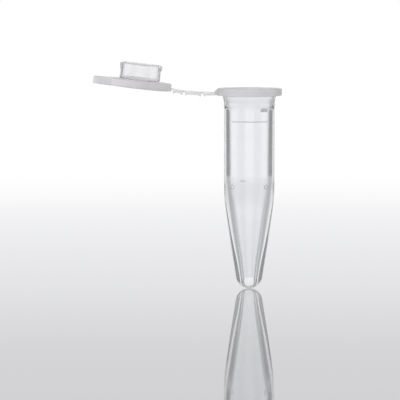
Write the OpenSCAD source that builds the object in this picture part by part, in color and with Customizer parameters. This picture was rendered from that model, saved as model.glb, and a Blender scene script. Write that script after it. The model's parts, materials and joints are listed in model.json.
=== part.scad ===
// Snap-cap microcentrifuge tube, shown open.
// The cap hangs on a flat strap: a fixed root and two links, joined by three living hinges.
// The frame stands on the tube's axis where the straight wall ends under the neck, +Z up,
// and the strap and cap lie towards -X.

/* [Tube] */
// Height from the tip to the rim
tube_h = 40; // [36:0.5:48]
// Outside diameter of the straight wall
body_d = 10.1; // [8.4:0.1:12.4]
// Wall thickness of the straight part
wall_t = 0.95; // [0.75:0.05:1.15]
// Height of the tapered lower part
cone_h = 18.6; // [15.4:0.2:22.4]
// Wall thickness of the tapered part, measured level
cone_wall = 1.48; // [1.25:0.01:1.75]
// Outside radius of the rounded tip
tip_r = 2.7; // [2.3:0.05:3.2]
// How far the tapered part's outside bulges past a straight line
cone_belly = 0.08; // [0.05:0.01:0.15]
// Thickness of the floor under the bore
floor_t = 0.55; // [0.4:0.05:0.9]
// Narrowing of the bore's radius over the straight part
bore_taper = 0.15; // [0.1:0.01:0.2]
// How far above the tapered part the bore starts to narrow
shoulder_up = 2.5; // [2:0.1:3]
// Height of the slope between the straight bore and the tapered one
shoulder_h = 5; // [4:0.2:6]

/* [Flange] */
// How far the flange stands out from the straight wall
flange_out = 1.45; // [1.1:0.05:1.8]
// Thickness of the flange
flange_t = 1.45; // [1.2:0.05:1.75]
// Bevel on the flange's two outer edges
flange_bevel = 0.28; // [0.1:0.02:0.36]
// Outward flare of the neck under the flange
neck_flare = 0.3; // [0.25:0.05:0.4]

/* [Cap] */
// Thickness of the cap's disc
cap_t = 1.5; // [1.2:0.05:1.9]
// Height of the plug above the disc
plug_h = 3.35; // [2.7:0.05:4.1]
// Wall thickness of the plug
plug_wall = 0.45; // [0.35:0.05:0.6]
// How far the seal bead stands out from the plug's root
bead_out = 0.2; // [0.16:0.01:0.26]
// How far the thumb tab reaches past the disc
tab_out = 2.7; // [2:0.1:3.4]
// Width of the thumb tab
tab_w = 6; // [4.8:0.2:7.4]
// Depth of the writing area let into the cap's outer face
recess = 0.15; // [0.1:0.01:0.25]

/* [Strap] */
// Width of the strap
strap_w = 3.6; // [2.8:0.1:4.4]
// Thickness of a link
strap_t = 0.6; // [0.5:0.05:0.75]
// Thickness of a living hinge
web_t = 0.2; // [0.14:0.02:0.24]
// Length of a living hinge
web_l = 0.4; // [0.36:0.02:0.5]
// Length of the strap's fixed root, from the lug to the lower hinge
root_l = 2.4; // [2:0.1:3]
// Length of the middle link between its hinge lines
middle_l = 3.6; // [3:0.1:4.4]
// Length of the cap link between its hinge lines
cap_link_l = 2.4; // [2:0.1:3]
// Slope of the open middle link
middle_tilt = 3.8; // [2:0.2:6]
// Slope of the open cap link
cap_link_tilt = 10.5; // [7:0.5:13]
// Slope of the open cap
cap_tilt = 6.5; // [4:0.5:8]

/* [Moulded marks] */
// Height of a raised mark above the wall
mark_h = 0.06; // [0.04:0.01:0.09]
// Width of a volume line's stroke
stroke = 0.17; // [0.12:0.01:0.22]
// Distance of the full volume line below the neck
line_down = 2.9; // [2.4:0.1:3.5]
// Distance of the block below the neck
block_down = 0.6; // [0.55:0.05:1]
// Width of the block
block_w = 1.6; // [1.2:0.1:2]
// Height of the block
block_h = 0.7; // [0.5:0.05:0.9]
// Distance of the short volume line above the tapered part
dash_up = 3.2; // [2.6:0.1:3.9]
// Distance of the small rings above the tapered part
ring_up = 1.9; // [1.5:0.1:2.3]
// Outside diameter of a small ring
ring_d = 0.95; // [0.8:0.05:1.15]

/* [Hidden] */
$fn = 96;
fit_gap = 0.04;

// tube levels and radii
body_r = body_d / 2;
bore_r = body_r - wall_t;
neck_r = body_r + neck_flare;
flange_r = body_r + flange_out;
seat_h = plug_h + 0.1;
seat_step = 0.6;
neck_h = seat_h + 0.15;
z_rim = neck_h;
z_flange = z_rim - flange_t;
z_tip = z_rim - tube_h;
z_cone = z_tip + cone_h;
tip_bore_r = tip_r - cone_wall;
cone_foot = z_tip + tip_r;
// outside radius of the tapered part at a share t of its height over the tip's round
function cone_r(t) = tip_r + (body_r - tip_r) * t + 4 * cone_belly * t * (1 - t);
function cone_z(t) = cone_foot + (z_cone - cone_foot) * t;
bore_cone_z = z_cone + shoulder_up;
shoulder_t = 1 - (shoulder_h - shoulder_up) / (z_cone - cone_foot);

// plug, bead and the seat that takes them as the plug swings in
plug_r = bore_r - 0.05;
bead_r = plug_r + bead_out;
swing = 0.49;
bead_depth = plug_h - 0.5;
function seat_r(depth) =
    bead_r + fit_gap + (depth < bead_depth ? swing * (1 - pow(depth / bead_depth, 2)) : 0);

// strap in the plane of its motion, as [x, z]; each slope is counted up towards -X
half_web = web_l / 2;
link_top = web_t / 2;
link_bot = web_t / 2 - strap_t;
lug_end = -flange_r - 0.5;
strap_z = z_rim - 0.85;
function along(p, len, tilt) = [p[0] - len * cos(tilt), p[1] + len * sin(tilt)];
p_lower = [lug_end - root_l, strap_z];
p_upper = along(p_lower, middle_l, middle_tilt);
p_cap = along(p_upper, cap_link_l, cap_link_tilt);

// cap in its own frame: the hinge line is at its origin, the plug's axis lies towards -X
cap_r = flange_r - 0.05;
cap_reach = cap_r + 0.25;
cap_bot = link_bot;
cap_top = cap_bot + cap_t;

function arc(c, r, a0, a1, n) =
    [for (i = [0 : n]) let (a = a0 + (a1 - a0) * i / n) [c[0] + r * cos(a), c[1] + r * sin(a)]];

// puts a solid that is drawn around a hinge line, with the strap towards -X, in its place
module at_hinge(p, tilt) {
    translate([p[0], 0, p[1]]) rotate([0, tilt, 0]) children();
}

// an outline in X and Z, made w wide about the Y = 0 plane
module slab(outline, w) {
    translate([0, w / 2, 0]) rotate([90, 0, 0]) linear_extrude(w) polygon(outline);
}

// ---- tube ----

module tube_body() {
    steps = 10;
    outer = concat(
        arc([0, cone_foot], tip_r, -90, -8, 16),
        [for (i = [1 : steps]) [cone_r(i / steps), cone_z(i / steps)]],
        [[body_r, 0], [body_r + neck_flare * 0.4, z_flange * 0.6], [neck_r, z_flange],
         [neck_r, z_rim]]);
    seat = [for (i = [0 : 12]) let (d = seat_h * i / 12) [seat_r(d), z_rim - d]];
    inner = concat(
        seat,
        [[bore_r, z_rim - seat_h - seat_step], [bore_r - bore_taper, bore_cone_z]],
        [for (i = [0 : steps - 1]) let (t = shoulder_t * (1 - i / steps))
            [cone_r(t) - cone_wall, cone_z(t)]],
        arc([0, z_tip + floor_t + tip_bore_r], tip_bore_r, 0, -90, 12));
    color([0.9, 0.92, 0.93, 0.6]) rotate_extrude() polygon(concat(outer, inner));
}

module mouth_flange() {
    b = flange_bevel;
    color([0.86, 0.88, 0.89, 0.7]) rotate_extrude()
        polygon([[neck_r, z_flange], [flange_r - b, z_flange], [flange_r, z_flange + b],
                 [flange_r, z_rim - b], [flange_r - b, z_rim], [neck_r, z_rim]]);
}

module strap_anchor() {
    x_end = lug_end;
    x_in = -flange_r + 0.9;
    z_h = strap_z;
    b = flange_bevel;
    color([0.86, 0.88, 0.89, 0.7]) difference() {
        intersection() {
            slab([[x_in, z_rim - b], [x_end + 0.3, z_rim - b - 0.1], [x_end, z_h + link_top],
                  [x_end, z_h + link_bot], [x_in, z_flange + b]], strap_w + 2);
            translate([0, 0, z_flange - 1]) linear_extrude(flange_t + 2)
                polygon([[x_in, -strap_w / 2 - 0.9], [x_end, -strap_w / 2],
                         [x_end, strap_w / 2], [x_in, strap_w / 2 + 0.9]]);
        }
        translate([0, 0, z_flange - 1]) cylinder(r = flange_r, h = flange_t + 2);
    }
}

// a raised patch on the straight wall; angles run from the front, towards +X
module patch(a0, a1, z0, z1) {
    rotate([0, 0, a0 - 90]) rotate_extrude(angle = a1 - a0)
        translate([body_r, z0]) square([mark_h, z1 - z0]);
}

module volume_lines() {
    line_z = -line_down;
    dash_z = z_cone + dash_up;
    color([0.8, 0.83, 0.85, 0.8]) {
        patch(-44, 48, line_z - stroke / 2, line_z + stroke / 2);
        patch(-21, -10, dash_z - stroke / 2, dash_z + stroke / 2);
    }
}

// an outline that is drawn flat, raised on the wall around the angle a
module raised(a, z) {
    rotate([0, 0, a]) difference() {
        intersection() {
            translate([0, 0, z]) rotate([90, 0, 0]) linear_extrude(body_r + 1) children();
            translate([0, 0, z - 2]) cylinder(r = body_r + mark_h, h = 4);
        }
        translate([0, 0, z - 3]) cylinder(r = body_r, h = 6);
    }
}

module moulded_marks() {
    color([0.8, 0.83, 0.85, 0.8]) {
        raised(35, -block_down) square([block_w, block_h], center = true);
        for (a = [-42, 40]) raised(a, z_cone + ring_up) difference() {
            circle(d = ring_d, $fn = 32);
            circle(d = ring_d - 2 * stroke, $fn = 32);
        }
    }
}

// ---- strap ----

// a link with a land along each end, under the hinge
module link(len) {
    land_w = 0.45;
    land_h = 0.2;
    a = -half_web;
    b = -len + half_web;
    slab([[a, link_top], [a, link_bot - land_h * 0.6], [a - land_w * 0.3, link_bot - land_h],
          [a - land_w * 0.7, link_bot - land_h], [a - land_w, link_bot],
          [b + land_w, link_bot], [b + land_w * 0.7, link_bot - land_h],
          [b + land_w * 0.3, link_bot - land_h], [b, link_bot - land_h * 0.6], [b, link_top]],
         strap_w);
}

// a living hinge that fills the gap between two links of different slopes
module web(p, tilt_near, tilt_far) {
    function near(z) = [p[0] + half_web * cos(tilt_near) + z * sin(tilt_near),
                        p[1] - half_web * sin(tilt_near) + z * cos(tilt_near)];
    function far(z) = [p[0] - half_web * cos(tilt_far) + z * sin(tilt_far),
                       p[1] + half_web * sin(tilt_far) + z * cos(tilt_far)];
    slab([near(web_t / 2), near(-web_t / 2), far(-web_t / 2), far(web_t / 2)], strap_w - 0.3);
}

module strap_root() {
    land_w = 0.45;
    land_h = 0.2;
    a = lug_end;
    b = p_lower[0] + half_web;
    z0 = strap_z + link_bot;
    z1 = strap_z + link_top;
    color([0.88, 0.9, 0.9, 0.7])
        slab([[a, z1], [a, z0], [b + land_w, z0], [b + land_w * 0.7, z0 - land_h],
              [b + land_w * 0.3, z0 - land_h], [b, z0 - land_h * 0.6], [b, z1]], strap_w);
}
module strap_middle_link() {
    color([0.88, 0.9, 0.9, 0.7]) at_hinge(p_lower, middle_tilt) link(middle_l);
}
module strap_cap_link() {
    color([0.88, 0.9, 0.9, 0.7]) at_hinge(p_upper, cap_link_tilt) link(cap_link_l);
}
module hinge_web_lower() { color([0.8, 0.82, 0.83, 0.8]) web(p_lower, 0, middle_tilt); }
module hinge_web_upper() { color([0.8, 0.82, 0.83, 0.8]) web(p_upper, middle_tilt, cap_link_tilt); }
module hinge_web_cap() { color([0.8, 0.82, 0.83, 0.8]) web(p_cap, cap_link_tilt, cap_tilt); }

// ---- cap ----

module on_cap() { at_hinge(p_cap, cap_tilt) translate([-cap_reach, 0, 0]) children(); }

module cap_disc() {
    e = 0.3;
    color([0.84, 0.85, 0.86, 0.75]) on_cap() rotate_extrude()
        polygon([[0, cap_bot + recess], [cap_r - 1.2, cap_bot + recess], [cap_r - 1.05, cap_bot],
                 [cap_r - e, cap_bot], [cap_r, cap_bot + e], [cap_r, cap_top - e],
                 [cap_r - e * 0.7, cap_top], [0, cap_top]]);
}

module cap_plug() {
    tip_h = 0.3;
    top = cap_top + plug_h;
    color([0.9, 0.91, 0.92, 0.7]) on_cap() rotate_extrude()
        polygon([[plug_r - plug_wall * 1.5, cap_top], [plug_r, cap_top], [plug_r, top - tip_h],
                 [plug_r - plug_wall * 0.3, top], [plug_r - plug_wall * 0.7, top],
                 [plug_r - plug_wall, top - tip_h], [plug_r - plug_wall, cap_top + 0.3]]);
}

module seal_bead() {
    top = cap_top + plug_h;
    color([0.88, 0.89, 0.9, 0.75]) on_cap() rotate_extrude()
        polygon([[plug_r, top - 1.5], [bead_r, top - 0.75], [bead_r, top - 0.5],
                 [plug_r + bead_out * 0.5, top - 0.32], [plug_r, top - 0.32]]);
}

module thumb_tab() {
    e = 0.22;
    z0 = cap_bot;
    z1 = cap_bot + cap_t * 0.93;
    color([0.84, 0.85, 0.86, 0.75]) on_cap() difference() {
        intersection() {
            translate([-cap_r - tab_out, 0, 0]) slab(
                [[0, z0 + e], [e, z0], [tab_out + 2, z0], [tab_out + 2, z1], [e, z1], [0, z1 - e]],
                tab_w + 2);
            translate([0, 0, z0 - 1]) linear_extrude(cap_t + 2) hull() {
                translate([-cap_r + 2, 0]) square([0.2, tab_w + 1.4], center = true);
                for (s = [-1, 1]) translate([-cap_r - tab_out + 1.4, s * (tab_w / 2 - 1.4)])
                    circle(r = 1.4, $fn = 48);
            }
        }
        translate([0, 0, z0 - 1]) cylinder(r = cap_r, h = cap_t + 2);
    }
}

module cap_strap_lug() {
    x_end = cap_reach - half_web;
    color([0.84, 0.85, 0.86, 0.75]) on_cap() difference() {
        slab([[cap_r - 1, cap_bot], [x_end, cap_bot], [x_end, link_top], [cap_r - 0.5, cap_top - 0.3],
              [cap_r - 1, cap_top - 0.3]], strap_w);
        translate([0, 0, cap_bot - 1]) cylinder(r = cap_r, h = cap_t + 2);
    }
}

tube_body();
mouth_flange();
strap_anchor();
strap_root();
volume_lines();
moulded_marks();
strap_middle_link();
strap_cap_link();
hinge_web_lower();
hinge_web_upper();
hinge_web_cap();
cap_disc();
cap_plug();
seal_bead();
thumb_tab();
cap_strap_lug();
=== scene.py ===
"""Microcentrifuge tube with its cap folded open: the looks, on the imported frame.

Every length is in metres in the row's frame: +Z up the tube's axis, strap and cap towards -X.
"""
import json
import math

import bmesh
import bpy
from mathutils import Matrix, Vector


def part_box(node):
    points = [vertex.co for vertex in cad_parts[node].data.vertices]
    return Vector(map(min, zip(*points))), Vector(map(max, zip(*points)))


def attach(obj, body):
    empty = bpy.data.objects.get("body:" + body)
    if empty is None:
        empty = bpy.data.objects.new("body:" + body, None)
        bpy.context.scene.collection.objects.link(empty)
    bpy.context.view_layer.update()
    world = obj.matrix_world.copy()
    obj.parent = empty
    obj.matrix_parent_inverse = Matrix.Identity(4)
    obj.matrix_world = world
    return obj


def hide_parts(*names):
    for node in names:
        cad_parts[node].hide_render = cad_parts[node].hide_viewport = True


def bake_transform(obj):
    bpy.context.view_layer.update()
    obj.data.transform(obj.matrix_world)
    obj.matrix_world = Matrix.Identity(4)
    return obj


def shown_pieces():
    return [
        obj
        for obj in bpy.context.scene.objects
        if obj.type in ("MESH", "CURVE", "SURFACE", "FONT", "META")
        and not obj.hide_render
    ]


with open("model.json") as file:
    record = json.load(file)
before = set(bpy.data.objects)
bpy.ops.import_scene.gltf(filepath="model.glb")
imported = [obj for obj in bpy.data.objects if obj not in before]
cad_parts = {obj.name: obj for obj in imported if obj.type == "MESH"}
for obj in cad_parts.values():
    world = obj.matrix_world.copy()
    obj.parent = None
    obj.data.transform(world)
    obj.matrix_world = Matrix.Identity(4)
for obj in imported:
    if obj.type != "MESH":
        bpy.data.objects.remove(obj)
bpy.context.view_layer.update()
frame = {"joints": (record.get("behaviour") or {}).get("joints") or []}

MM = 0.001
JOINTS = {j["name"]: Vector(j["pos_m"]) for j in frame["joints"]}
P_LOWER, P_UPPER, P_CAP = JOINTS["lower_fold"], JOINTS["upper_fold"], JOINTS["cap_bend"]

# ---- sizes, read off the frame where it has them ----
Z_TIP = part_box("tube_body")[0].z
Z_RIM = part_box("mouth_flange")[1].z
Z_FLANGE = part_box("mouth_flange")[0].z
FLANGE_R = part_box("mouth_flange")[1].x
BODY_R = 5.05 * MM
WALL = 0.95 * MM
BORE_R = BODY_R - WALL
NECK_R = BODY_R + 0.3 * MM
CONE_H = 18.6 * MM
FLOOR_T = 0.55 * MM
TIP_R = 2.7 * MM
CONE_WALL = 1.48 * MM
CONE_BELLY = 0.08 * MM
TIP_BORE_R = TIP_R - CONE_WALL
BORE_TAPER = 0.15 * MM
SHOULDER_UP = 2.5 * MM
SHOULDER_H = 5 * MM
PLUG_R = BORE_R - 0.05 * MM
BEAD_R = PLUG_R + 0.2 * MM
BEAD_DOWN = 0.5 * MM
PLUG_H = 3.35 * MM
PLUG_WALL = 0.45 * MM
SEAT_H = PLUG_H + 0.1 * MM
SEAT_STEP = 0.6 * MM
CAP_T = 1.5 * MM
CAP_R = FLANGE_R - 0.05 * MM
CAP_REACH = CAP_R + 0.25 * MM
TAB_OUT = 2.7 * MM
TAB_W = 6 * MM
RECESS = 0.15 * MM
LUG_END = -FLANGE_R - 0.5 * MM
STRAP_W = 3.6 * MM
STRAP_T = 0.6 * MM
WEB_T = 0.2 * MM
HALF_WEB = 0.2 * MM
LINK_TOP = WEB_T / 2
LINK_BOT = WEB_T / 2 - STRAP_T
CAP_BOT = LINK_BOT
CAP_TOP = CAP_BOT + CAP_T
MIDDLE_L, CAP_LINK_L = 3.6 * MM, 2.4 * MM
MIDDLE_TILT, CAP_LINK_TILT, CAP_TILT = 3.8, 10.5, 6.5
MARK_H = 0.06 * MM
MARK_GAP = 0.008 * MM
HAZY_FROM = -0.9 * MM  # the neck is hazier above this height
SWING = 0.49 * MM  # the seat's flare at the rim, for the plug to swing in
SEAT_GAP = 0.04 * MM
WEB_W = STRAP_W - 0.3 * MM


# ---- mesh tools ----

# angles in degrees over which an edge is shaded sharp: as drawn, bevelled, and joined
EDGE, SOFT_EDGE, JOINED_EDGE = 32, 50, 38


def shade(obj, sharp_deg):
    obj.data.shade_smooth()
    obj.data.set_sharp_from_angle(angle=math.radians(sharp_deg))


def finish_mesh(name, bm):
    bmesh.ops.remove_doubles(bm, verts=bm.verts, dist=1e-7)
    bmesh.ops.recalc_face_normals(bm, faces=bm.faces)
    mesh = bpy.data.meshes.new(name)
    bm.to_mesh(mesh)
    bm.free()
    obj = bpy.data.objects.new(name, mesh)
    bpy.context.scene.collection.objects.link(obj)
    shade(obj, EDGE)
    return obj


def bake(obj):
    """Applies the object's modifiers to its mesh."""
    dg = bpy.context.evaluated_depsgraph_get()
    mesh = bpy.data.meshes.new_from_object(obj.evaluated_get(dg))
    obj.modifiers.clear()
    old = obj.data
    obj.data = mesh
    bpy.data.meshes.remove(old)


def lathe(name, profile, segments=160):
    """A closed solid of revolution from [(radius, z), ...], whose ends lie on the axis or meet."""
    bm = bmesh.new()
    rings = []
    for r, z in profile:
        if r < 1e-9:
            rings.append([bm.verts.new((0, 0, z))] * segments)
        else:
            rings.append([bm.verts.new((r * math.cos(a), r * math.sin(a), z))
                          for a in (math.tau * i / segments for i in range(segments))])
    closed = profile[0][0] > 1e-9
    pairs = list(zip(rings, rings[1:] + rings[:1])) if closed else list(zip(rings, rings[1:]))
    for a, b in pairs:
        for i in range(segments):
            k = (i + 1) % segments
            corners = list(dict.fromkeys([a[i], a[k], b[k], b[i]]))
            if len(corners) > 2:
                bm.faces.new(corners)
    return finish_mesh(name, bm)


def skin(bm, loops, closed=False):
    """Covers a row of loops of points; the two end loops are capped, or else the row is a ring."""
    for a, b in zip(loops, loops[1:] + (loops[:1] if closed else [])):
        for i in range(len(a)):
            k = (i + 1) % len(a)
            bm.faces.new([a[i], a[k], b[k], b[i]])
    if not closed:
        bm.faces.new(loops[0])
        bm.faces.new(list(reversed(loops[-1])))


def slab(name, outline, width, width_at=None):
    """A closed prism: an outline in X and Z, made wide about the Y = 0 plane."""
    bm = bmesh.new()
    skin(bm, [[bm.verts.new((x, side * (width_at(x) if width_at else width) / 2, z))
               for x, z in outline] for side in (-1, 1)])
    return finish_mesh(name, bm)


def join_solids(a, b):
    """Unites b into a, and removes b."""
    m = a.modifiers.new("unite", "BOOLEAN")
    m.operation, m.solver, m.object = "UNION", "EXACT", b
    bpy.context.view_layer.update()
    bake(a)
    bpy.data.objects.remove(b)


def soften(obj, width, segments=2, angle=35):
    m = obj.modifiers.new("soft_edges", "BEVEL")
    m.width, m.segments, m.limit_method = width, segments, "ANGLE"
    m.angle_limit = math.radians(angle)
    bpy.context.view_layer.update()
    bake(obj)
    shade(obj, SOFT_EDGE)


def at_hinge(obj, point, tilt):
    """Puts a mesh that is drawn around a hinge line, with the strap towards -X, in its place."""
    obj.data.transform(Matrix.Translation(point) @ Matrix.Rotation(math.radians(tilt), 4, "Y"))


def arc(cx, cz, r, a0, a1, n):
    return [(cx + r * math.cos(math.radians(a0 + (a1 - a0) * i / n)),
             cz + r * math.sin(math.radians(a0 + (a1 - a0) * i / n))) for i in range(n + 1)]


def rounded(points, radii, n=4):
    """An open profile with its corners turned to arcs; radii gives each point's radius."""
    out = []
    for i, (p, r) in enumerate(zip(points, radii)):
        if r <= 0 or i in (0, len(points) - 1):
            out.append(p)
            continue
        a, b, c = Vector(points[i - 1]), Vector(p), Vector(points[i + 1])
        u, v = (a - b), (c - b)
        half = u.angle(v) / 2
        cut = min(r / math.tan(half), 0.45 * u.length, 0.45 * v.length)
        start, end = b + u.normalized() * cut, b + v.normalized() * cut
        for k in range(n + 1):
            t = k / n
            q = start * (1 - t) ** 2 + b * 2 * t * (1 - t) + end * t ** 2
            out.append((q.x, q.y))
    return out


def smooth_run(points, n=6):
    """A Catmull-Rom curve through [(radius, z), ...]."""
    pts = [Vector(p) for p in points]
    pts = [2 * pts[0] - pts[1]] + pts + [2 * pts[-1] - pts[-2]]
    out = []
    for i in range(1, len(pts) - 2):
        p0, p1, p2, p3 = pts[i - 1:i + 3]
        for k in range(n):
            t = k / n
            q = 0.5 * (2 * p1 + (p2 - p0) * t + (2 * p0 - 5 * p1 + 4 * p2 - p3) * t ** 2
                       + (3 * p1 - p0 - 3 * p2 + p3) * t ** 3)
            out.append((q.x, q.y))
    return out + [tuple(pts[-2])]


# ---- materials ----

def node(tree, kind, **values):
    made = tree.nodes.new(kind)
    for key, value in values.items():
        if hasattr(made, key):
            setattr(made, key, value)
        else:
            made.inputs[key.replace("_", " ")].default_value = value
    return made


def wire(tree, source, output, target, socket):
    tree.links.new(source.outputs[output], target.inputs[socket])


def blank_material(name):
    mat = bpy.data.materials.new(name)
    mat.use_nodes = True
    mat.node_tree.nodes.clear()
    return mat, mat.node_tree, node(mat.node_tree, "ShaderNodeOutputMaterial")


# noise scales, in cells per metre
GRAIN, MOTTLE, WAVE = 9000.0, 420.0, 230.0


def plastic(name, tint, tint_low, rough, rough_high, clear, ior=1.49, ripple=0.02,
            bump_mm=0.004):
    """Moulded polypropylene: a faint mottle in colour and gloss, over fine mould texture."""
    mat, t, out = blank_material(name)
    shader = node(t, "ShaderNodeBsdfPrincipled", IOR=ior, Transmission_Weight=clear)
    where = node(t, "ShaderNodeTexCoord")
    mottle = node(t, "ShaderNodeTexNoise", Scale=MOTTLE, Detail=3.0)
    wire(t, where, "Object", mottle, "Vector")
    ramp = node(t, "ShaderNodeValToRGB")
    low, high = ramp.color_ramp.elements
    low.position, low.color = 0.3, (*tint_low, 1)
    high.position, high.color = 0.7, (*tint, 1)
    wire(t, mottle, "Fac", ramp, "Fac")
    wire(t, ramp, "Color", shader, "Base Color")
    gloss = node(t, "ShaderNodeMapRange", To_Min=rough, To_Max=rough_high)
    wire(t, mottle, "Fac", gloss, "Value")
    wire(t, gloss, "Result", shader, "Roughness")
    fine = node(t, "ShaderNodeTexNoise", Scale=GRAIN, Detail=2.0)
    wire(t, where, "Object", fine, "Vector")
    wave = node(t, "ShaderNodeTexNoise", Scale=WAVE)
    wire(t, where, "Object", wave, "Vector")
    both = node(t, "ShaderNodeMath", operation="MULTIPLY_ADD")
    wire(t, fine, "Fac", both, 0)
    both.inputs[1].default_value = ripple
    wire(t, wave, "Fac", both, 2)
    bump = node(t, "ShaderNodeBump", Strength=0.25, Distance=bump_mm * MM)
    wire(t, both, "Value", bump, "Height")
    wire(t, bump, "Normal", shader, "Normal")
    wire(t, shader, "BSDF", out, "Surface")
    return mat


clear_mat = plastic("clear_polypropylene", (0.965, 0.97, 0.975), (0.945, 0.95, 0.958),
                    0.03, 0.08, 1.0, ior=1.45)
neck_mat = plastic("neck_polypropylene", (0.95, 0.955, 0.962), (0.93, 0.935, 0.943),
                   0.16, 0.24, 0.9, ior=1.42)
# The flange's grey tint is painted shade: the clear plastic is drawn grey for the dark that its
# thick edges pick up.
flange_painted_shade_mat = plastic("flange_painted_shade_polypropylene", (0.77, 0.765, 0.78), (0.73, 0.725, 0.74),
                     0.35, 0.45, 0.5, ripple=0.1)
# The cap's grey tint is painted shade: the clear plastic is drawn grey for the dark that its thick
# disc picks up.
cap_painted_shade_mat = plastic("cap_polypropylene", (0.81, 0.793, 0.802), (0.77, 0.753, 0.764),
                  0.35, 0.45, 0.25, ripple=0.15)
plug_mat = plastic("plug_polypropylene", (0.97, 0.97, 0.978), (0.95, 0.95, 0.958),
                   0.08, 0.14, 0.93, ior=1.45, ripple=0.0, bump_mm=0.001)
hinge_mat = plastic("hinge_polypropylene", (0.9, 0.9, 0.905), (0.85, 0.85, 0.86),
                    0.4, 0.5, 0.15, ripple=0.05, bump_mm=0.001)
# The darker tint of the hinge webs and of the lands beside them is painted shade in the hinge
# creases.
web_painted_shade_mat = plastic("hinge_web_painted_shade_polypropylene", (0.7, 0.7, 0.71), (0.64, 0.64, 0.655),
                  0.4, 0.55, 0.15, ripple=0.05, bump_mm=0.001)
mark_mat = plastic("raised_mark_polypropylene", (0.7, 0.71, 0.72), (0.62, 0.63, 0.645),
                   0.4, 0.6, 0.5, ripple=0.3)
frost_mat = plastic("frosted_writing_area", (0.7, 0.69, 0.7), (0.62, 0.61, 0.625),
                    0.55, 0.75, 0.3, ripple=0.6, bump_mm=0.012)


def paint(obj, *mats):
    obj.data.materials.clear()
    for m in mats:
        obj.data.materials.append(m)


def repaint(obj, index, inside):
    """Gives a material slot to the faces whose centre passes the test."""
    for face in obj.data.polygons:
        if inside(face.center):
            face.material_index = index


# ---- tube ----

z_cone = Z_TIP + CONE_H
bead_depth = PLUG_H - BEAD_DOWN
cone_foot = Z_TIP + TIP_R


def seat_r(depth):
    flare = SWING * (1 - (depth / bead_depth) ** 2) if depth < bead_depth else 0
    return BEAD_R + SEAT_GAP + flare


def cone_r(t):
    return TIP_R + (BODY_R - TIP_R) * t + 4 * CONE_BELLY * t * (1 - t)


def cone_z(t):
    return cone_foot + (z_cone - cone_foot) * t


tip = arc(0, cone_foot, TIP_R, -90, -8, 24)
run = [(cone_r(t), cone_z(t)) for t in (0.1, 0.3, 0.5, 0.7, 0.9)]
outer = tip[:-1] + smooth_run([tip[-1]] + run + [(BODY_R - 0.06 * MM, z_cone + 0.4 * MM),
                                                (BODY_R, z_cone + 3.5 * MM)], 6)
outer += [(BODY_R, z_cone * 0.5), (BODY_R, 0)]
outer += rounded([(BODY_R, 0), (BODY_R + 0.12 * MM, Z_FLANGE * 0.6), (NECK_R, Z_FLANGE),
                  (FLANGE_R, Z_FLANGE), (FLANGE_R, Z_RIM), (seat_r(0), Z_RIM),
                  (seat_r(0.15 * MM), Z_RIM - 0.15 * MM)],
                 [0, 2 * MM, 0.12 * MM, 0.3 * MM, 0.3 * MM, 0.1 * MM, 0], 5)[1:]
seat = [(seat_r(d), Z_RIM - d) for d in (SEAT_H * i / 14 for i in range(1, 15))]
inner = seat[:-1] + rounded([seat[-2], seat[-1], (BORE_R, Z_RIM - SEAT_H - SEAT_STEP),
                             (BORE_R * 0.998, -3 * MM)], [0, 1.2 * MM, 1.5 * MM, 0], 6)[1:]
shoulder_t = 1 - (SHOULDER_H - SHOULDER_UP) / (z_cone - cone_foot)
bore_run = [(cone_r(shoulder_t * k) - CONE_WALL, cone_z(shoulder_t * k))
            for k in (1, 0.8, 0.6, 0.4, 0.2)]
bore_tip = arc(0, Z_TIP + FLOOR_T + TIP_BORE_R, TIP_BORE_R, 0, -90, 20)
inner += smooth_run([(BORE_R - BORE_TAPER * 0.6, z_cone + 6 * MM),
                     (BORE_R - BORE_TAPER, z_cone + SHOULDER_UP)] + bore_run + [bore_tip[0]], 6)
inner += bore_tip[1:]
profile = outer + inner
profile[0] = (0, profile[0][1])
profile[-1] = (0, profile[-1][1])
tube = lathe("tube_shell", profile)

lug_in = -FLANGE_R + 0.5 * MM
lug = slab("lug", [(lug_in, Z_RIM - 0.3 * MM), (-FLANGE_R - 0.1 * MM, Z_RIM - 0.38 * MM),
                   (LUG_END, P_LOWER.z + LINK_TOP), (LUG_END, P_LOWER.z + LINK_BOT),
                   (lug_in, Z_FLANGE + 0.28 * MM)], STRAP_W,
           width_at=lambda x: STRAP_W + 1.6 * MM * (x - LUG_END) / (lug_in - LUG_END))
soften(lug, 0.1 * MM)
join_solids(tube, lug)
paint(tube, clear_mat, flange_painted_shade_mat, neck_mat)
repaint(tube, 2, lambda c: c.z > HAZY_FROM)
# the flange faces take the grey material, whose tint is painted shade
repaint(tube, 1, lambda c: c.z > Z_FLANGE - 0.01 * MM and math.hypot(c.x, c.y) > NECK_R - 0.1 * MM)
shade(tube, JOINED_EDGE)
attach(tube, "tube")
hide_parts("tube_body", "mouth_flange", "strap_anchor")


# ---- raised volume marks, a hair clear of the wall ----

def patch(bm, a0, a1, z0, z1):
    """A raised patch on the straight wall; angles run from the front, towards +X, in degrees."""
    steps = max(1, round(abs(a1 - a0) / 2))
    r0, r1 = BODY_R + MARK_GAP, BODY_R + MARK_H
    cols = []
    for i in range(steps + 1):
        a = math.radians(a0 + (a1 - a0) * i / steps - 90)
        cols.append([bm.verts.new((r * math.cos(a), r * math.sin(a), z))
                     for r, z in ((r0, z0), (r1, z0), (r1, z1), (r0, z1))])
    skin(bm, cols)


# heights, and angles from the front in degrees
STROKE = 0.17 * MM
LINE_Z, LINE_SPAN = -2.9 * MM, (-44, 48)
DASH_Z, DASH_SPAN = z_cone + 3.2 * MM, (-21, -10)
BLOCK_Z, BLOCK_AT, BLOCK_W, BLOCK_H = -0.6 * MM, 35, 1.6 * MM, 0.7 * MM
RING_Z, RINGS_AT, RING_D = z_cone + 1.9 * MM, (-42, 40), 0.95 * MM
bm = bmesh.new()
for (a0, a1), z in ((LINE_SPAN, LINE_Z), (DASH_SPAN, DASH_Z)):
    patch(bm, a0, a1, z - STROKE / 2, z + STROKE / 2)
lines = finish_mesh("volume_line_marks", bm)

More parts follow.
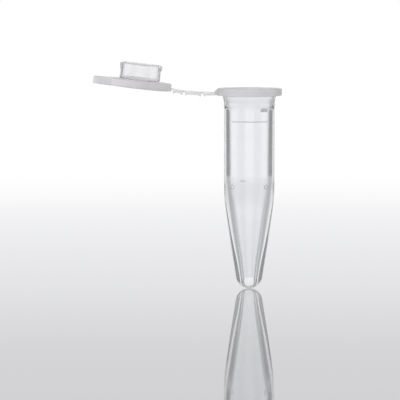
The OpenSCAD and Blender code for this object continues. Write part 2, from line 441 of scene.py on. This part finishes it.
bm = bmesh.new()
half = math.degrees(BLOCK_W / 2 / BODY_R)
patch(bm, BLOCK_AT - half, BLOCK_AT + half, BLOCK_Z - BLOCK_H / 2, BLOCK_Z + BLOCK_H / 2)
for angle in RINGS_AT:
    steps = 32
    loops = []
    for i in range(steps):
        w = math.tau * i / steps
        loop = []
        for flat, r in ((RING_D / 2 - STROKE, BODY_R + MARK_GAP), (RING_D / 2, BODY_R + MARK_GAP),
                        (RING_D / 2, BODY_R + MARK_H), (RING_D / 2 - STROKE, BODY_R + MARK_H)):
            a = math.radians(angle - 90) + flat * math.cos(w) / BODY_R
            loop.append(bm.verts.new((r * math.cos(a), r * math.sin(a),
                                      RING_Z + flat * math.sin(w))))
        loops.append(loop)
    skin(bm, loops, closed=True)
marks = finish_mesh("moulded_mark_pieces", bm)
for piece, cad in ((lines, "volume_lines"), (marks, "moulded_marks")):
    paint(piece, mark_mat)
    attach(piece, "tube")
    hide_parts(cad)


# ---- strap ----

LAND_W, LAND_H = 0.45 * MM, 0.2 * MM


def link(name, body, cad, point, tilt, length):
    a, b = -HALF_WEB, -length + HALF_WEB
    outline = [(a, LINK_TOP), (a, LINK_BOT - LAND_H * 0.6), (a - LAND_W * 0.3, LINK_BOT - LAND_H),
               (a - LAND_W * 0.7, LINK_BOT - LAND_H), (a - LAND_W, LINK_BOT),
               (b + LAND_W, LINK_BOT), (b + LAND_W * 0.7, LINK_BOT - LAND_H),
               (b + LAND_W * 0.3, LINK_BOT - LAND_H), (b, LINK_BOT - LAND_H * 0.6), (b, LINK_TOP)]
    made = slab(name, outline, STRAP_W)
    soften(made, 0.05 * MM)
    paint(made, hinge_mat, web_painted_shade_mat)
    # the lands beside each hinge take the darker web tint: painted shade in the creases
    repaint(made, 1, lambda c: c.x > a - LAND_W or c.x < b + LAND_W)
    at_hinge(made, point, tilt)
    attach(made, body)
    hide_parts(cad)
    return made


root_z0, root_z1 = P_LOWER.z + LINK_BOT, P_LOWER.z + LINK_TOP
root_b = P_LOWER.x + HALF_WEB
root = slab("strap_root_piece", [
    (LUG_END + 0.03 * MM, root_z1), (LUG_END + 0.03 * MM, root_z0), (root_b + LAND_W, root_z0),
    (root_b + LAND_W * 0.7, root_z0 - LAND_H), (root_b + LAND_W * 0.3, root_z0 - LAND_H),
    (root_b, root_z0 - LAND_H * 0.6), (root_b, root_z1)], STRAP_W)
soften(root, 0.05 * MM)
paint(root, hinge_mat, web_painted_shade_mat)
# the land beside the hinge takes the darker web tint: painted shade in the crease
repaint(root, 1, lambda c: c.x < root_b + LAND_W)
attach(root, "tube")
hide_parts("strap_root")
link("middle_link_piece", "middle_link", "strap_middle_link", P_LOWER, MIDDLE_TILT, MIDDLE_L)
link("cap_link_piece", "cap_link", "strap_cap_link", P_UPPER, CAP_LINK_TILT, CAP_LINK_L)


def web(name, cad, point, near_tilt, far_tilt):
    """A living hinge: a thin strip with rows of points along its bend."""
    rows = 12
    near = point + Matrix.Rotation(math.radians(near_tilt), 3, "Y") @ Vector((HALF_WEB, 0, 0))
    far = point + Matrix.Rotation(math.radians(far_tilt), 3, "Y") @ Vector((-HALF_WEB, 0, 0))
    bm = bmesh.new()
    cols = []
    for i in range(rows + 1):
        t = i / rows
        tilt = math.radians(near_tilt + (far_tilt - near_tilt) * t)
        up = Vector((math.sin(tilt), 0, math.cos(tilt)))
        mid = near.lerp(far, t)
        thick = WEB_T / 2 * (0.8 + 0.2 * abs(2 * t - 1) ** 2)
        cols.append([bm.verts.new(mid + up * z + Vector((0, y * WEB_W / 2, 0)))
                     for y, z in ((-1, -thick), (1, -thick), (1, thick), (-1, thick))])
    skin(bm, cols)
    made = finish_mesh(name, bm)
    # the web's darker tint is painted shade in the crease
    paint(made, web_painted_shade_mat)
    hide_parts(cad)
    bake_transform(made)
    return made


web("web_lower", "hinge_web_lower", P_LOWER, 0, MIDDLE_TILT)
web("web_upper", "hinge_web_upper", P_UPPER,
    MIDDLE_TILT, CAP_LINK_TILT)
web("web_cap", "hinge_web_cap", P_CAP, CAP_LINK_TILT, CAP_TILT)


# ---- cap ----

top = CAP_TOP + PLUG_H
in_r = PLUG_R - PLUG_WALL
cap_profile = rounded(
    [(0, CAP_BOT + RECESS), (CAP_R - 1.2 * MM, CAP_BOT + RECESS), (CAP_R - 1.05 * MM, CAP_BOT),
     (CAP_R, CAP_BOT), (CAP_R, CAP_TOP), (PLUG_R, CAP_TOP), (PLUG_R, top - 1.5 * MM),
     (BEAD_R, top - 0.75 * MM), (BEAD_R, top - BEAD_DOWN), (PLUG_R + 0.1 * MM, top - 0.1 * MM),
     (PLUG_R - PLUG_WALL * 0.3, top), (PLUG_R - PLUG_WALL * 0.7, top), (in_r, top - 0.3 * MM),
     (in_r, CAP_TOP + 0.3 * MM), (in_r - 0.22 * MM, CAP_TOP), (0, CAP_TOP)],
    [0, 0.1 * MM, 0.1 * MM, 0.3 * MM, 0.28 * MM, 0.12 * MM, 0.6 * MM, 0.2 * MM, 0.2 * MM, 0.08 * MM,
     0.08 * MM, 0.08 * MM, 0.1 * MM, 0.15 * MM, 0.1 * MM, 0], 4)
cap = lathe("cap_shell", cap_profile)

# thumb tab: a tongue with round corners, drawn as one closed loop of points in plan
z0, z1 = CAP_BOT, CAP_BOT + CAP_T * 0.93
plan = [(-CAP_R + 2 * MM, TAB_W / 2 + 0.7 * MM)]
corner = 1.4 * MM
for s, a0, a1 in ((1, 90, 180), (-1, 180, 270)):
    plan += arc(-CAP_R - TAB_OUT + corner, s * (TAB_W / 2 - corner), corner, a0, a1, 8)
plan += [(-CAP_R + 2 * MM, -TAB_W / 2 - 0.7 * MM)]
bm = bmesh.new()
skin(bm, [[bm.verts.new((x, y, z)) for x, y in plan] for z in (z0, z1)])
tab = finish_mesh("tab", bm)
soften(tab, 0.2 * MM, 3, 50)
join_solids(cap, tab)

cap_lug = slab("cap_lug", [
    (CAP_R - 1 * MM, CAP_BOT + 0.01 * MM), (CAP_REACH - HALF_WEB, CAP_BOT + 0.01 * MM),
    (CAP_REACH - HALF_WEB, LINK_TOP), (CAP_R - 0.5 * MM, CAP_TOP - 0.3 * MM),
    (CAP_R - 1 * MM, CAP_TOP - 0.3 * MM)], STRAP_W)
soften(cap_lug, 0.05 * MM)
join_solids(cap, cap_lug)
# the cap disc, tab and lug take the grey tint, which is painted shade
paint(cap, cap_painted_shade_mat, plug_mat, frost_mat)
repaint(cap, 2, lambda c: (c.z < CAP_BOT + RECESS + 0.02 * MM
                           and math.hypot(c.x, c.y) < CAP_R - 1.15 * MM))
repaint(cap, 1, lambda c: (c.z > CAP_TOP + 0.05 * MM
                           and math.hypot(c.x, c.y) < BEAD_R + 0.1 * MM))
shade(cap, JOINED_EDGE)
cap.data.transform(Matrix.Translation(Vector((-CAP_REACH, 0, 0))))
at_hinge(cap, P_CAP, CAP_TILT)
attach(cap, "cap")
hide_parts("cap_disc", "cap_plug", "seal_bead", "thumb_tab", "cap_strap_lug")

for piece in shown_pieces():
    piece.visible_shadow = False


# ---- stage, light and camera ----

def stage_floor():
    """A round glossy floor that glows as painted light, greyer towards the front, and fades into
    the white surroundings.
    """
    rings, segments, reach = 24, 96, 0.36
    bm = bmesh.new()
    centre = bm.verts.new((0, 0, 0))
    previous = None
    for k in range(1, rings + 1):
        r = reach * k / rings
        ring = [bm.verts.new((r * math.cos(math.tau * i / segments),
                              r * math.sin(math.tau * i / segments), 0)) for i in range(segments)]
        for i in range(segments):
            j = (i + 1) % segments
            if previous is None:
                bm.faces.new([centre, ring[i], ring[j]])
            else:
                bm.faces.new([previous[i], ring[i], ring[j], previous[j]])
        previous = ring
    floor = finish_mesh("floor", bm)
    floor.location = (0, 0, Z_TIP - 0.05 * MM)
    mat, t, out = blank_material("floor")
    where = node(t, "ShaderNodeTexCoord")
    dist = node(t, "ShaderNodeVectorMath", operation="LENGTH")
    wire(t, where, "Object", dist, 0)
    split = node(t, "ShaderNodeSeparateXYZ")
    wire(t, where, "Object", split, "Vector")
    depth = node(t, "ShaderNodeMapRange", From_Min=-0.21, From_Max=0.28)
    wire(t, split, "Y", depth, "Value")
    # the floor's glow runs from dark grey at the front to white at the back: painted light, darker
    # towards the front
    painted_light_grade = node(t, "ShaderNodeValToRGB")
    stops = painted_light_grade.color_ramp.elements
    stops[0].position, stops[0].color = 0.0, (0.27, 0.272, 0.282, 1)
    stops[1].position, stops[1].color = 1.0, (1, 1, 1, 1)
    for place, level in ((0.226, 0.376), (0.4286, 0.609), (0.737, 0.83)):
        stops.new(place).color = (level, level * 1.003, level * 1.015, 1)
    wire(t, depth, "Result", painted_light_grade, "Fac")
    painted_light_glow = node(t, "ShaderNodeEmission")
    wire(t, painted_light_grade, "Color", painted_light_glow, "Color")
    mirror = node(t, "ShaderNodeBsdfGlossy", Roughness=0.03, Color=(0.95, 0.95, 0.96, 1))
    mix = node(t, "ShaderNodeMixShader", Fac=0.55)
    wire(t, painted_light_glow, "Emission", mix, 1)
    wire(t, mirror, "BSDF", mix, 2)
    gone = node(t, "ShaderNodeBsdfTransparent")
    fade = node(t, "ShaderNodeMapRange", From_Min=0.2, From_Max=0.35)
    wire(t, dist, "Value", fade, "Value")
    geo = node(t, "ShaderNodeNewGeometry")
    both = node(t, "ShaderNodeMath", operation="MAXIMUM")
    wire(t, fade, "Result", both, 0)
    wire(t, geo, "Backfacing", both, 1)
    final = node(t, "ShaderNodeMixShader")
    wire(t, both, "Value", final, "Fac")
    wire(t, mix, "Shader", final, 1)
    wire(t, gone, "BSDF", final, 2)
    wire(t, final, "Shader", out, "Surface")
    paint(floor, mat)


stage_floor()


def surroundings():
    """White where the camera looks past the object; paler and darker flags for glass to pick up."""
    world = bpy.data.worlds.new("surroundings")
    bpy.context.scene.world = world
    world.use_nodes = True
    t = world.node_tree
    t.nodes.clear()
    out = node(t, "ShaderNodeOutputWorld")
    where = node(t, "ShaderNodeTexCoord")
    split = node(t, "ShaderNodeSeparateXYZ")
    wire(t, where, "Generated", split, "Vector")
    # |x * y| peaks half way between the two axes, where the flags stand
    prod = node(t, "ShaderNodeMath", operation="MULTIPLY")
    wire(t, split, "X", prod, 0)
    wire(t, split, "Y", prod, 1)
    size = node(t, "ShaderNodeMath", operation="ABSOLUTE")
    wire(t, prod, "Value", size, 0)
    ramp = node(t, "ShaderNodeValToRGB")
    ramp.color_ramp.interpolation = "EASE"
    pale, dark = ramp.color_ramp.elements
    pale.position, pale.color = 0.26, (0.95, 0.95, 0.96, 1)
    dark.position, dark.color = 0.46, (0.27, 0.27, 0.28, 1)
    wire(t, size, "Value", ramp, "Fac")
    over = node(t, "ShaderNodeMapRange", From_Min=0.25, From_Max=0.9, To_Min=1.0, To_Max=0.65)
    wire(t, split, "Z", over, "Value")
    light = node(t, "ShaderNodeBackground")
    wire(t, ramp, "Color", light, "Color")
    wire(t, over, "Result", light, "Strength")
    white = node(t, "ShaderNodeBackground", Color=(1, 1, 1, 1), Strength=1.0)
    path = node(t, "ShaderNodeLightPath")
    mix = node(t, "ShaderNodeMixShader")
    wire(t, path, "Is Camera Ray", mix, "Fac")
    wire(t, light, "Background", mix, 1)
    wire(t, white, "Background", mix, 2)
    wire(t, mix, "Shader", out, "Surface")


surroundings()


def soft_box(name, azimuth, elevation, distance, width, height, watts, target=(0, 0, -0.012)):
    """A tall soft box that faces the target. Azimuth 0 is in front, at -Y, and 90 is at +X."""
    data = bpy.data.lights.new(name, "AREA")
    data.shape, data.size, data.size_y, data.energy = "RECTANGLE", width, height, watts
    lamp = bpy.data.objects.new(name, data)
    a, e = math.radians(azimuth), math.radians(elevation)
    away = Vector((math.sin(a) * math.cos(e), -math.cos(a) * math.cos(e), math.sin(e)))
    lamp.location = Vector(target) + away * distance
    lamp.rotation_mode = "QUATERNION"
    lamp.rotation_quaternion = away.to_track_quat("Z", "Y")
    lamp.visible_camera = lamp.visible_glossy = lamp.visible_transmission = False
    bpy.context.scene.collection.objects.link(lamp)


soft_box("soft_box_left", -74, 6, 0.4, 0.07, 0.3, 0.8)
soft_box("soft_box_right", 38, 6, 0.4, 0.05, 0.3, 0.4)
soft_box("soft_box_back", 180, 20, 0.5, 0.3, 0.2, 0.25)

SENSOR = 36
FIELD = 80 * MM
DISTANCE = 0.6
AIM = Vector((-9.84 * MM, 0, Z_TIP + 17.66 * MM))
ELEVATION = 4.3
cam_data = bpy.data.cameras.new("camera")
cam_data.sensor_width = SENSOR
cam_data.lens = SENSOR * DISTANCE / FIELD
cam_data.clip_start, cam_data.clip_end = 0.01, 10
cam = bpy.data.objects.new("camera", cam_data)
back = Vector((0, -math.cos(math.radians(ELEVATION)), math.sin(math.radians(ELEVATION))))
cam.location = AIM + back * DISTANCE
cam.rotation_mode = "QUATERNION"
cam.rotation_quaternion = (-back).to_track_quat("-Z", "Y")
bpy.context.scene.collection.objects.link(cam)
bpy.context.scene.camera = cam
bpy.context.scene.view_settings.view_transform = "Standard"
